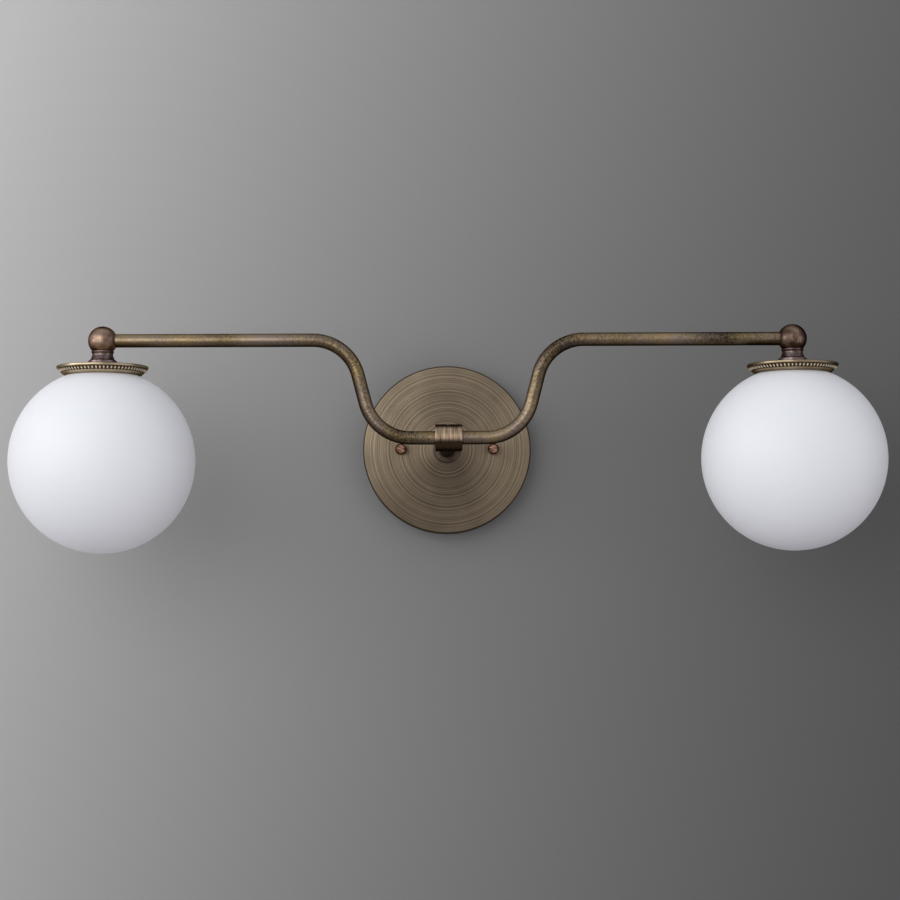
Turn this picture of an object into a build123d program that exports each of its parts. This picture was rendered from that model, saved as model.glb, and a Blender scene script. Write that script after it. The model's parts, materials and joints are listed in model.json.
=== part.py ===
from build123d import *
import os
from math import cos, pi, radians, sin, sqrt

# Two-globe vanity light for a wall, in millimetres.
# The origin is the middle of the backplate on the wall: X to the right, Y into the wall, Z up.

# Backplate, a spun dish that is open towards the wall
plate_diameter = 127.0
plate_depth = 20.0
plate_sheet = 1.2
plate_edge_radius = 1.6
plate_hole_clearance = 0.3

# Mounting bar on the wall box, with its studs, nuts and earth screw
bar_length = 108.0
bar_width = 22.0
bar_thickness = 2.5
bar_corner_radius = 4.0
box_screw_spacing = 88.9
box_slot_length = 10.0
box_slot_width = 4.4
lead_hole_diameter = 12.0
stud_spacing = 69.85
stud_diameter = 4.1
stud_nut_width = 8.7
stud_nut_height = 3.0
ground_screw_place = 20.0
ground_screw_diameter = 3.8
ground_head_diameter = 8.0
ground_head_height = 2.4

# Ball knobs on the ends of the studs
knob_diameter = 8.4
knob_foot_diameter = 6.0
knob_foot_height = 0.8
knob_tip_diameter = 2.4
knob_tip_height = 0.7
knob_thread_length = 4.5
knob_running_gap = 0.05
knob_end_room = 0.5

# Threaded pipe, which joins the pieces and carries the wires
pipe_diameter = 10.2
pipe_bore = 6.4
pipe_hole_clearance = 0.1
thread_gap = 0.05
pipe_nut_width = 14.3
pipe_nut_height = 3.2
pipe_washer_diameter = 17.0
pipe_washer_thickness = 0.8

# Stem between the backplate and the tee
stem_diameter = 12.7
stem_ring_diameter = 20.4
stem_ring_height = 3.0
stem_ring_edge_radius = 1.2
stem_pipe_end_room = 1.5

# Tee barrel that the arm runs through
arm_standoff = 135.0
tee_diameter = 19.05
tee_length = 19.05
tee_edge_bevel = 0.7
tee_seat_depth = 6.8
tee_seat_clearance = 0.1
set_screw_diameter = 4.0
set_screw_recess = 0.6
set_screw_key_width = 2.0
set_screw_key_depth = 2.0

# Arm, one bent tube from ball to ball
tube_diameter = 9.525
tube_wall = 1.0
tube_gap = 0.05
lamp_spacing = 486.0
arm_rise = 69.3
arm_bend_radius = 33.0
arm_bend_angle = 75.5
arm_middle_run = 53.0
pipe_end_to_tube = 0.2
wire_hole_diameter = 6.4

# Ball at each end of the arm
ball_diameter = 20.5
tube_end_from_axis = 5.4
pipe_end_below_axis = 5.4
ball_wire_bore = 7.0

# Turned neck under the ball; heights run down from the top of its collar
neck_top_below_axis = 7.5
neck_ball_gap = 0.05
collar_diameter = 15.7
collar_height = 0.7
waist_diameter = 14.4
waist_height = 3.2
bead_ring_diameter = 15.8
bead_ring_height = 0.7
bead_ring_bulge = 0.25
flare_height = 2.3
flare_hollow_radius = 4.0
foot_diameter = 20.0
foot_height = 3.9

# Spun shade holder, a cap with a flared side
holder_rim_diameter = 64.0
holder_mouth_diameter = 53.5
holder_height = 6.3
holder_sheet = 1.0
holder_rim_height = 0.9
holder_rim_radius = 0.4
holder_rim_step = 1.3
holder_lip_height = 2.3
holder_lip_taper = 2.15
holder_band_recess = 1.1

# Row of beads round the holder's flare
bead_count = 72
bead_height = 0.9
bead_flat_share = 0.4
bead_band_sheet = 0.4
bead_band_margin = 0.3
bead_solder_gap = 0.05

# Screw collar in the holder, and the globe that screws into it
globe_diameter = 130.0
globe_wall = 3.0
globe_neck_diameter = 48.0
globe_neck_wall = 3.0
globe_neck_fillet = 0.8
globe_shoulder_gap = 0.3
collar_running_gap = 0.35
thread_collar_wall = 1.0
thread_collar_height = 4.1
gasket_thickness = 1.2
gasket_margin = 0.2

# Lamp socket
socket_diameter = 34.0
socket_shoulder_diameter = 26.0
socket_shoulder_height = 7.0
socket_length = 38.0
socket_cavity_diameter = 27.8
socket_pipe_length = 6.0
socket_floor = 3.0
shell_wall = 0.5
shell_gap = 0.05
shell_top_room = 2.0
shell_length = 24.0
shell_hole_diameter = 14.0
contact_diameter = 12.0
contact_sheet = 0.5
contact_dome_diameter = 7.0
contact_dome_height = 1.9

# Tubular bulb
bulb_contact_gap = 0.1
bulb_tip_diameter = 5.6
bulb_tip_height = 0.8
bulb_insulator_diameter = 19.0
bulb_insulator_height = 3.2
bulb_base_gap = 0.35
bulb_base_sheet = 0.5
bulb_base_taper = 1.6
bulb_base_length = 24.0
bulb_glass_diameter = 32.0
bulb_glass_wall = 1.0
bulb_glass_gap = 0.1
bulb_glass_tuck = 5.0
bulb_shoulder_length = 7.0
bulb_glass_length = 58.0

# Two insulated conductors for each lamp
wire_diameter = 2.0
wire_spacing = 2.5
wire_side_offset = 1.1
wire_ball_radius = 4.5
wire_tee_radius = 4.0
wire_canopy_radius = 4.5
wire_end_room = 0.5
lead_hole_clearance = 0.15
wire_nut_mouth_diameter = 11.0
wire_nut_end_diameter = 7.0
wire_nut_length = 18.0
wire_nut_bore = 5.2
wire_nut_bore_depth = 11.0
wire_nut_wire_depth = 9.0
wire_nut_from_middle = 16.0

# Radii and places that several pieces share
plate_radius = plate_diameter / 2
pipe_radius = pipe_diameter / 2
pipe_hole_radius = pipe_radius + pipe_hole_clearance
pipe_thread_radius = pipe_radius + thread_gap
tube_radius = tube_diameter / 2
stud_radius = stud_diameter / 2
ball_radius = ball_diameter / 2
lamp_x = lamp_spacing / 2
bend = radians(arm_bend_angle)
plate_inside = plate_depth - plate_sheet
stem_pipe_back = plate_inside - pipe_washer_thickness - pipe_nut_height - stem_pipe_end_room
stem_pipe_front = arm_standoff - tube_radius - pipe_end_to_tube

# Heights at each lamp, measured from the arm's axis, downwards is negative
neck_top = -neck_top_below_axis
neck_height = collar_height + waist_height + bead_ring_height + flare_height + foot_height
holder_top = neck_top - neck_height
holder_inside = holder_top - holder_sheet
holder_mouth = holder_top - holder_height
holder_washer_end = holder_inside - pipe_washer_thickness
socket_top = holder_washer_end - pipe_nut_height
lamp_pipe_end = socket_top - socket_pipe_length
cavity_top = lamp_pipe_end - socket_floor
socket_mouth = socket_top - socket_length
bulb_top = cavity_top - contact_sheet - contact_dome_height - bulb_contact_gap
bulb_base_top = bulb_top - bulb_tip_height - bulb_insulator_height
bulb_base_end = bulb_base_top - bulb_base_length
bulb_glass_top = bulb_base_end + bulb_glass_tuck
bulb_glass_end = bulb_base_end - bulb_glass_length

# Places of the flare's two ends on the holder's outside, as radius and height, and the lip's top below them
flare_top = (holder_rim_diameter / 2 - holder_rim_step, holder_top - holder_rim_height)
lip_top = (holder_mouth_diameter / 2 + holder_lip_taper, holder_mouth + holder_lip_height)
flare_end = (lip_top[0] - holder_band_recess, lip_top[1])

# The globe's middle, where its shoulder lies just under the inner edge of the holder's mouth
globe_radius = globe_diameter / 2
mouth_inner_radius = holder_mouth_diameter / 2 - holder_sheet
shoulder_height = sqrt(globe_radius**2 - mouth_inner_radius**2)
globe_middle = holder_mouth - globe_shoulder_gap - shoulder_height
globe_neck_radius = globe_neck_diameter / 2
globe_neck_top = holder_inside - gasket_thickness

# Frames: heights from the wall become -Y, and heights at a lamp start from the arm's axis
from_wall = Rot(90, 0, 0)
at_lamp = Pos(lamp_x, -arm_standoff, arm_rise)


def turned(*outline):
    """Solid of revolution about Z from a closed outline of (radius, height) points."""
    return turned_face(Polyline(*outline, close=True))


def turned_face(outline):
    """Solid of revolution about Z from a closed outline of lines and arcs."""
    return revolve(Plane.XZ * make_face(outline), Axis.Z)


def ring(inner_radius, outer_radius, low, high):
    """Plain round ring, or a rod where the inner radius is 0."""
    return turned((inner_radius, low), (outer_radius, low), (outer_radius, high), (inner_radius, high))


def hex_nut(width, bore_radius, low, high):
    """Hexagon nut with its axis along Z."""
    face = RegularPolygon(width / 2, 6, major_radius=False) - Circle(bore_radius)
    return extrude(Pos(0, 0, low) * face, high - low)


def both_sides(shape):
    """The shape and its mirror image left of the middle, as one group."""
    return shape + mirror(shape, about=Plane.YZ)


def mounting_bar():
    strap = RectangleRounded(bar_length, bar_width, bar_corner_radius)
    strap -= Circle(lead_hole_diameter / 2)
    strap -= Pos(ground_screw_place, 0) * Circle(ground_screw_diameter / 2 + thread_gap)
    for side in (-1, 1):
        strap -= Pos(side * box_screw_spacing / 2, 0) * SlotOverall(box_slot_length, box_slot_width)
        strap -= Pos(side * stud_spacing / 2, 0) * Circle(stud_radius + thread_gap)
    return from_wall * extrude(strap, bar_thickness)


def bar_studs():
    stud = ring(0, stud_radius, 0, plate_depth + knob_thread_length)
    return both_sides(from_wall * Pos(stud_spacing / 2, 0, 0) * stud)


def stud_lock_nuts():
    nut = hex_nut(stud_nut_width, stud_radius + thread_gap, bar_thickness, bar_thickness + stud_nut_height)
    return both_sides(from_wall * Pos(stud_spacing / 2, 0, 0) * nut)


def ground_screw():
    head_end = bar_thickness + ground_head_height
    screw = ring(0, ground_screw_diameter / 2, 0, head_end)
    screw += ring(0, ground_head_diameter / 2, bar_thickness, head_end)
    return from_wall * Pos(ground_screw_place, 0, 0) * screw


def backplate():
    shoulder = plate_radius - plate_edge_radius
    inner_radius = plate_radius - plate_sheet
    edge_middle = (shoulder, plate_depth - plate_edge_radius)
    front_edge = CenterArc(edge_middle, plate_edge_radius, 0, 90)
    inside_edge = CenterArc(edge_middle, plate_edge_radius - plate_sheet, 0, 90)
    outline = Line((pipe_hole_radius, plate_inside), (pipe_hole_radius, plate_depth))
    outline += Line((pipe_hole_radius, plate_depth), front_edge @ 1)
    outline += front_edge
    outline += Line(front_edge @ 0, (plate_radius, 0))
    outline += Line((plate_radius, 0), (inner_radius, 0))
    outline += Line((inner_radius, 0), inside_edge @ 0)
    outline += inside_edge
    outline += Line(inside_edge @ 1, (pipe_hole_radius, plate_inside))
    dish = turned_face(outline)
    stud_hole = ring(0, stud_radius + plate_hole_clearance, 0, plate_depth)
    for side in (-1, 1):
        dish -= Pos(side * stud_spacing / 2, 0, 0) * stud_hole
    return from_wall * dish


def knob():
    """Ball cap nut with a small foot and a turned tip, on the right-hand stud."""
    foot_radius = knob_foot_diameter / 2
    knob_radius = knob_diameter / 2
    foot_top = plate_depth + knob_foot_height
    middle = foot_top + sqrt(knob_radius**2 - foot_radius**2)
    tip_radius = knob_tip_diameter / 2
    tip_base = middle + sqrt(knob_radius**2 - tip_radius**2)
    tip_end = middle + knob_radius + knob_tip_height
    hole_end = plate_depth + knob_thread_length + knob_end_room
    cap = ring(0, foot_radius, plate_depth, foot_top)
    cap += Pos(0, 0, middle) * Sphere(knob_radius) & ring(0, knob_diameter, foot_top, tip_end)
    cap += turned((0, middle), (tip_radius, tip_base), (0, tip_end))
    cap -= ring(0, stud_radius + knob_running_gap, plate_depth, hole_end)
    return from_wall * Pos(stud_spacing / 2, 0, 0) * cap


def stem_ring():
    foot = ring(pipe_hole_radius, stem_ring_diameter / 2, plate_depth, plate_depth + stem_ring_height)
    outer_edge = foot.edges().group_by(Axis.Z)[-1].sort_by(SortBy.RADIUS)[-1]
    return from_wall * fillet(outer_edge, stem_ring_edge_radius)


def stem():
    low = plate_depth + stem_ring_height
    return from_wall * ring(pipe_hole_radius, stem_diameter / 2, low, arm_standoff - tee_seat_depth)


def stem_nipple():
    return from_wall * ring(pipe_bore / 2, pipe_radius, stem_pipe_back, stem_pipe_front)


def stem_washer():
    low = plate_inside - pipe_washer_thickness
    return from_wall * ring(pipe_hole_radius, pipe_washer_diameter / 2, low, plate_inside)


def stem_nut():
    high = plate_inside - pipe_washer_thickness
    return from_wall * hex_nut(pipe_nut_width, pipe_thread_radius, high - pipe_nut_height, high)


def tee():
    """Barrel along X, bored for the arm, spot-faced for the stem and tapped for the pipe."""
    tee_radius = tee_diameter / 2
    barrel = Rot(0, 90, 0) * Cylinder(tee_radius, tee_length)
    barrel = chamfer(barrel.edges().filter_by(GeomType.CIRCLE), tee_edge_bevel)
    barrel -= Rot(0, 90, 0) * Cylinder(tube_radius + tube_gap, tee_length)
    barrel = Pos(0, -arm_standoff, 0) * barrel
    seat = arm_standoff - tee_seat_depth
    barrel -= from_wall * ring(0, stem_diameter / 2 + tee_seat_clearance, seat - tee_radius, seat)
    barrel -= from_wall * ring(0, pipe_thread_radius, seat - tee_radius, arm_standoff)
    screw_hole = ring(0, set_screw_diameter / 2 + thread_gap, 0, tee_radius)
    return barrel - Pos(0, -arm_standoff, 0) * screw_hole


def tee_set_screw():
    """Headless screw with a hexagon socket, from the top of the tee down to the tube."""
    top = tee_diameter / 2 - set_screw_recess
    screw = ring(0, set_screw_diameter / 2, tube_radius, top)
    key = RegularPolygon(set_screw_key_width / 2, 6, major_radius=False)
    screw -= extrude(Pos(0, 0, top - set_screw_key_depth) * key, set_screw_key_depth)
    return Pos(0, -arm_standoff, 0) * screw


def arm_corners():
    """Corners of the arm's centreline right of the middle, in its plane, as (x, z)."""
    bend_reach = arm_bend_radius * sin(bend) / (1 + cos(bend))
    lower_x = arm_middle_run / 2 + bend_reach
    upper_x = lower_x + arm_rise * cos(bend) / sin(bend)
    return (lower_x, 0), (upper_x, arm_rise)


def arm_tube():
    lower, upper = arm_corners()
    end = (lamp_x - tube_end_from_axis, arm_rise)
    right_half = [lower, upper, end]
    left_half = [(-x, z) for x, z in reversed(right_half)]
    corners = [(x, -arm_standoff, z) for x, z in left_half + right_half]
    path = FilletPolyline(*corners, radius=arm_bend_radius)
    section = Circle(tube_radius) - Circle(tube_radius - tube_wall)
    tube = sweep(Plane(path @ 0, z_dir=path % 0) * section, path)
    return tube - from_wall * ring(0, wire_hole_diameter / 2, arm_standoff - tube_diameter, arm_standoff)


def ball():
    """Ball drilled from the side for the tube and from below for the pipe, with wire bores that meet."""
    wire_radius = ball_wire_bore / 2
    body = Sphere(ball_radius)
    body -= Rot(0, -90, 0) * ring(0, tube_radius + tube_gap, tube_end_from_axis, ball_radius)
    body -= Rot(0, -90, 0) * ring(0, wire_radius, -wire_radius, ball_radius)
    body -= ring(0, pipe_thread_radius, -ball_radius, -pipe_end_below_axis)
    body -= ring(0, wire_radius, -ball_radius, wire_radius)
    return at_lamp * body


def neck():
    """Turned neck: collar, hollow waist, thin ring, flare and foot, with a seat for the ball on top."""
    collar_radius = collar_diameter / 2
    ring_radius = bead_ring_diameter / 2
    foot_radius = foot_diameter / 2
    waist_top = neck_top - collar_height
    ring_top = waist_top - waist_height
    flare_start = ring_top - bead_ring_height
    foot_top = holder_top + foot_height
    waist_middle = (waist_diameter / 2, (waist_top + ring_top) / 2)
    ring_middle = (ring_radius, (ring_top + flare_start) / 2)
    ring_edge = ring_radius - bead_ring_bulge
    outline = Line((pipe_hole_radius, holder_top), (pipe_hole_radius, neck_top))
    outline += Line((pipe_hole_radius, neck_top), (collar_radius, neck_top))
    outline += Line((collar_radius, neck_top), (collar_radius, waist_top))
    outline += ThreePointArc((collar_radius, waist_top), waist_middle, (ring_edge, ring_top))
    outline += ThreePointArc((ring_edge, ring_top), ring_middle, (ring_edge, flare_start))
    outline += RadiusArc((ring_edge, flare_start), (foot_radius, foot_top), -flare_hollow_radius)
    outline += Polyline((foot_radius, foot_top), (foot_radius, holder_top), (pipe_hole_radius, holder_top))
    return at_lamp * (turned_face(outline) - Sphere(ball_radius + neck_ball_gap))


def nipple():
    return at_lamp * ring(pipe_bore / 2, pipe_radius, lamp_pipe_end, -pipe_end_below_axis)


def holder():
    """Spun cap: flat top, plain rim, a recessed flare for the bead band, and a tapered lip at the mouth."""
    rim_radius = holder_rim_diameter / 2
    mouth_radius = holder_mouth_diameter / 2
    rim_corner = (rim_radius - holder_rim_radius, holder_top - holder_rim_radius)
    rim_arc = CenterArc(rim_corner, holder_rim_radius, 0, 90)
    outline = Polyline((pipe_hole_radius, holder_inside), (pipe_hole_radius, holder_top), rim_arc @ 1)
    outline += rim_arc
    outline += Polyline(
        rim_arc @ 0,
        (rim_radius, holder_top - holder_rim_height),
        flare_top,
        flare_end,
        lip_top,
        (mouth_radius, holder_mouth),
        (mouth_inner_radius, holder_mouth),
        (flare_end[0] - holder_sheet, flare_end[1]),
        (flare_top[0] - holder_sheet, holder_inside),
        (pipe_hole_radius, holder_inside),
    )
    return at_lamp * turned_face(outline)


def bead_ring_face(along, rise):
    """Ring of bead tops and valleys at a share of the way down the band, bead tops raised by rise."""
    radius, height = band_point(along)
    points = []
    for step in range(2 * bead_count):
        angle = pi * step / bead_count
        reach = radius + bead_band_sheet + bead_solder_gap + rise * (step % 2)
        points.append((reach * cos(angle), reach * sin(angle)))
    return Pos(0, 0, height) * make_face(Polyline(*points, close=True))


def band_point(along):
    """Point on the holder's flare at a share of the way down the bead band, as (radius, height)."""
    run = flare_top[0] - flare_end[0]
    drop = flare_top[1] - flare_end[1]
    margin = bead_band_margin / drop
    share = margin + along * (1 - 2 * margin)
    return flare_top[0] - share * run, flare_top[1] - share * drop


def bead_band():
    """Thin band on the holder's flare with a row of faceted beads."""
    slope_share = (1 - bead_flat_share) / 2
    levels = ((0, 0), (slope_share, bead_height), (1 - slope_share, bead_height), (1, 0))
    band = loft([bead_ring_face(along, rise) for along, rise in levels], ruled=True)
    top_radius, top = band_point(0)
    end_radius, end = band_point(1)
    inside = turned(
        (0, end), (end_radius + bead_solder_gap, end), (top_radius + bead_solder_gap, top), (0, top)
    )
    return at_lamp * (band - inside)


def thread_collar():
    inner_radius = globe_neck_radius + collar_running_gap
    outer_radius = inner_radius + thread_collar_wall
    return at_lamp * ring(inner_radius, outer_radius, holder_inside - thread_collar_height, holder_inside)


def holder_washer():
    return at_lamp * ring(pipe_hole_radius, pipe_washer_diameter / 2, holder_washer_end, holder_inside)


def holder_nut():
    return at_lamp * hex_nut(pipe_nut_width, pipe_thread_radius, socket_top, holder_washer_end)


def gasket():
    inner_radius = globe_neck_radius - globe_neck_wall + gasket_margin
    outer_radius = globe_neck_radius - gasket_margin
    return at_lamp * ring(inner_radius, outer_radius, globe_neck_top, holder_inside)


def globe():
    """Closed glass ball with a short neck round its one opening."""
    bore_radius = globe_neck_radius - globe_neck_wall
    glass = Pos(0, 0, globe_middle) * Sphere(globe_radius)
    glass += ring(0, globe_neck_radius, globe_middle, globe_neck_top)
    shoulder = globe_middle + sqrt(globe_radius**2 - globe_neck_radius**2)
    joint = glass.edges().filter_by(GeomType.CIRCLE).sort_by_distance((globe_neck_radius, 0, shoulder))[0]
    glass = fillet(joint, globe_neck_fillet)
    glass -= Pos(0, 0, globe_middle) * Sphere(globe_radius - globe_wall)
    glass -= ring(0, bore_radius, globe_middle, globe_middle + globe_radius)
    return at_lamp * glass


def socket():
    """Porcelain socket: shouldered outside, pipe thread on top, deep cavity below and two lead holes."""
    outer_radius = socket_diameter / 2
    body = turned(
        (0, socket_top),
        (socket_shoulder_diameter / 2, socket_top),
        (outer_radius, socket_top - socket_shoulder_height),
        (outer_radius, socket_mouth),
        (0, socket_mouth),
    )
    body -= ring(0, pipe_thread_radius, lamp_pipe_end, socket_top)
    body -= ring(0, socket_cavity_diameter / 2, socket_mouth, cavity_top)
    for side in (-1, 1):
        hole = ring(0, wire_diameter / 2 + lead_hole_clearance, cavity_top, lamp_pipe_end)
        body -= Pos(side * wire_spacing / 2, 0, 0) * hole
    return at_lamp * body


def screw_shell():
    outer_radius = socket_cavity_diameter / 2 - shell_gap
    top = cavity_top - shell_top_room
    shell = ring(outer_radius - shell_wall, outer_radius, top - shell_length, top)
    shell += ring(shell_hole_diameter / 2, outer_radius, top - shell_wall, top)
    return at_lamp * shell


def centre_contact():
    """Stamped disc with a raised dome for the bulb's tip."""
    flat = cavity_top - contact_sheet
    dome_end = flat - contact_dome_height
    dome_radius = contact_dome_diameter / 2
    rim = contact_diameter / 2
    outline = Polyline((0, dome_end), (0, cavity_top), (rim, cavity_top), (rim, flat), (dome_radius, flat))
    outline += Spline((dome_radius, flat), (0, dome_end), tangents=((-1, -1), (-1, 0)))
    return at_lamp * turned_face(outline)


def bulb_tip():
    """The bulb's end contact on its cone of insulation."""
    tip_radius = bulb_tip_diameter / 2
    cone_top = bulb_top - bulb_tip_height
    return at_lamp * turned(
        (0, bulb_top),
        (tip_radius, bulb_top),
        (tip_radius, cone_top),
        (bulb_insulator_diameter / 2, bulb_base_top),
        (0, bulb_base_top),
    )


def bulb_base_radius():
    return socket_cavity_diameter / 2 - shell_gap - shell_wall - bulb_base_gap


def bulb_base():
    """Thin metal screw base, drawn in at its top round the insulator."""
    outer_radius = bulb_base_radius()
    inner_radius = outer_radius - bulb_base_sheet
    neck_radius = bulb_insulator_diameter / 2
    taper_end = bulb_base_top - bulb_base_taper
    return at_lamp * turned(
        (neck_radius - bulb_base_sheet, bulb_base_top),
        (neck_radius, bulb_base_top),
        (outer_radius, taper_end),
        (outer_radius, bulb_base_end),
        (inner_radius, bulb_base_end),
        (inner_radius, taper_end - bulb_base_sheet),
        (neck_radius - bulb_base_sheet, bulb_base_top - bulb_base_sheet),
    )


def bulb_glass():
    """Tubular glass with a round end and a narrower neck that sits in the base."""
    neck_radius = bulb_base_radius() - bulb_base_sheet - bulb_glass_gap
    tube_outer = bulb_glass_diameter / 2
    tube_inner = tube_outer - bulb_glass_wall
    shoulder = bulb_base_end - bulb_shoulder_length
    end_middle = bulb_glass_end + tube_outer
    outer_end = CenterArc((0, end_middle), tube_outer, -90, 90)
    inner_end = CenterArc((0, end_middle), tube_inner, -90, 90)
    outline = Line(outer_end @ 0, inner_end @ 0)
    outline += inner_end
    outline += Polyline(
        inner_end @ 1,
        (tube_inner, shoulder),
        (neck_radius - bulb_glass_wall, bulb_base_end),
        (neck_radius - bulb_glass_wall, bulb_glass_top),
        (neck_radius, bulb_glass_top),
        (neck_radius, bulb_base_end),
        (tube_outer, shoulder),
        outer_end @ 1,
    )
    outline += outer_end
    return at_lamp * turned_face(outline)


def wire(offset):
    """One conductor from the wire nut through stem, tee, arm and ball to the socket, right of the middle.

    Offset is its distance above the arm's centreline, on the outside of the turn in the ball.
    """
    lower, upper = arm_corners()
    lean = offset * sin(bend) / (1 + cos(bend))
    up = 1 if offset > 0 else -1
    canopy_y = -(stem_pipe_back - wire_end_room - wire_canopy_radius)
    nut_end = up * (wire_nut_from_middle + wire_nut_wire_depth)
    points = [
        (wire_side_offset, canopy_y, nut_end),
        (wire_side_offset, canopy_y, offset),
        (wire_side_offset, -arm_standoff, offset),
        (lower[0] - lean, -arm_standoff, offset),
        (upper[0] - lean, -arm_standoff, arm_rise + offset),
        (lamp_x + offset, -arm_standoff, arm_rise + offset),
        (lamp_x + offset, -arm_standoff, arm_rise + cavity_top + wire_end_room),
    ]
    radii = [
        wire_canopy_radius,
        wire_tee_radius,
        arm_bend_radius - offset,
        arm_bend_radius + offset,
        wire_ball_radius + offset,
    ]
    path = FilletPolyline(*points, radius=radii)
    return sweep(Plane(path @ 0, z_dir=path % 0) * Circle(wire_diameter / 2), path)


def wires():
    return wire(wire_spacing / 2) + wire(-wire_spacing / 2)


def wire_nuts():
    """Two tapered caps over the joined wire ends, above and below the stem's pipe."""
    mouth = wire_nut_from_middle
    cap = turned(
        (0, mouth),
        (wire_nut_mouth_diameter / 2, mouth),
        (wire_nut_end_diameter / 2, mouth + wire_nut_length),
        (0, mouth + wire_nut_length),
    )
    cap -= ring(0, wire_nut_bore / 2, mouth, mouth + wire_nut_bore_depth)
    wall_distance = stem_pipe_back - wire_end_room - wire_canopy_radius
    cap = Pos(0, -wall_distance, 0) * cap
    return cap + mirror(cap, about=Plane.XY)


# Pieces that there is one node of, and pieces that stand right of the middle and again left of it
middle_pieces = (
    mounting_bar,
    bar_studs,
    stud_lock_nuts,
    ground_screw,
    backplate,
    stem_ring,
    stem,
    stem_nipple,
    stem_washer,
    stem_nut,
    tee,
    tee_set_screw,
    arm_tube,
    wire_nuts,
)
side_pieces = (
    knob,
    ball,
    neck,
    nipple,
    holder,
    bead_band,
    thread_collar,
    holder_washer,
    holder_nut,
    gasket,
    globe,
    socket,
    screw_shell,
    centre_contact,
    bulb_tip,
    bulb_base,
    bulb_glass,
    wires,
)

os.makedirs("parts", exist_ok=True)
for piece in middle_pieces:
    export_step(piece(), f"parts/{piece.__name__}.step")
for piece in side_pieces:
    right = piece()
    export_step(right, f"parts/right_{piece.__name__}.step")
    export_step(mirror(right, about=Plane.YZ), f"parts/left_{piece.__name__}.step")
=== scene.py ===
import json
from functools import partial
from math import acos, cos, degrees, pi, radians, sin, sqrt, tan

import bmesh
import bpy
from bpy.props import FloatProperty, FloatVectorProperty, IntProperty, PointerProperty
from mathutils import Matrix, Vector


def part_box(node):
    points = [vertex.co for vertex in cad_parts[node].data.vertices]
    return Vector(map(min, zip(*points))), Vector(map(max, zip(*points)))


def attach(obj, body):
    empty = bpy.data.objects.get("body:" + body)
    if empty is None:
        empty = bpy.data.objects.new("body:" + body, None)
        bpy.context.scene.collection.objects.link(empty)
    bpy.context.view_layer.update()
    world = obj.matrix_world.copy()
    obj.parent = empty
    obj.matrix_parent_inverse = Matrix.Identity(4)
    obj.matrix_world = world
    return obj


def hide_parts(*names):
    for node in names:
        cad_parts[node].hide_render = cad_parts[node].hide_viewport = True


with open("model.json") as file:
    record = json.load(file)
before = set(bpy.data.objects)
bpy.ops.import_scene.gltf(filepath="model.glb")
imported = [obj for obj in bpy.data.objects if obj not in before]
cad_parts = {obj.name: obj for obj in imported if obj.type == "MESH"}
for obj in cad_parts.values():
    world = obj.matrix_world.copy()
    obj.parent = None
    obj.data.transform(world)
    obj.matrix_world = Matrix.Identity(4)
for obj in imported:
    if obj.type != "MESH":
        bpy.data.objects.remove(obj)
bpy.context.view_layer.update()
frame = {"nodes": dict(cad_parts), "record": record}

bl_info = {
    "name": "Two-globe vanity light",
    "version": (1, 0, 0),
    "blender": (4, 5, 0),
    "location": "3D View > Sidebar > Vanity Light",
    "description": "Dresses a wall light's parts in antique brass and opal glass, and sets its stage",
    "category": "Object",
}

# Directions and sides of the light: X runs along the arm, Y into the wall and Z up
ALONG_ARM = Vector((1, 0, 0))
OFF_WALL = Vector((0, -1, 0))
UPWARDS = Vector((0, 0, 1))
PLATE_MIDDLE = Vector((0, 0, 0))
SIDES = {"left": -1, "right": 1}

# How much darker one lamp's pieces are than the other's: partly patina, partly painted shade
PATINA_AND_SHADE = {"left": 0.0, "right": 0.13}

# Meshes: points nearer than this are one point, and edges sharper than this angle stay crisp
SAME_POINT = 1e-7
SHARP_ANGLE = radians(38)

# Steps round a turned piece, the backplate and the tube, along each of its bends, and along and round a bead
TURNED_STEPS = 128
PLATE_STEPS = 240
TUBE_SIDES = 48
BEND_STEPS = 28
BEAD_RINGS = 6
BEAD_SIDES = 10

# Places that the frame gives
plate_low, plate_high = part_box("backplate")
tube_low, tube_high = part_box("arm_tube")
tube_radius = (tube_high.y - tube_low.y) / 2
arm_y = (tube_high.y + tube_low.y) / 2
arm_rise = tube_high.z - tube_low.z - 2 * tube_radius
arm_end = tube_high.x


def axis_point(node, height):
    """Point on the upright axis of a lamp's CAD node, at a height."""
    low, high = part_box(node)
    return Vector(((low.x + high.x) / 2, arm_y, height))


def linear(hex_colour):
    """Linear colour with full alpha from an sRGB hex value."""
    shares = [int(hex_colour[at : at + 2], 16) / 255 for at in (1, 3, 5)]
    curve = [s / 12.92 if s <= 0.04045 else ((s + 0.055) / 1.055) ** 2.4 for s in shares]
    return (*curve, 1.0)


def length(name, description, default):
    """Property for a real size in metres."""
    return FloatProperty(
        name=name, description=description, default=default, precision=5, subtype="DISTANCE", unit="LENGTH"
    )


def factor(name, description, default):
    """Property for a share of something."""
    return FloatProperty(name=name, description=description, default=default, min=0, max=1, subtype="FACTOR")


def power(name, description, default):
    """Property for a light's power in watts."""
    return FloatProperty(name=name, description=description, default=default, unit="POWER")


def colour(name, description, hex_colour):
    """Property for a colour, given as sRGB hex."""
    return FloatVectorProperty(
        name=name, description=description, default=linear(hex_colour), size=4, min=0, max=1, subtype="COLOR"
    )


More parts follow.
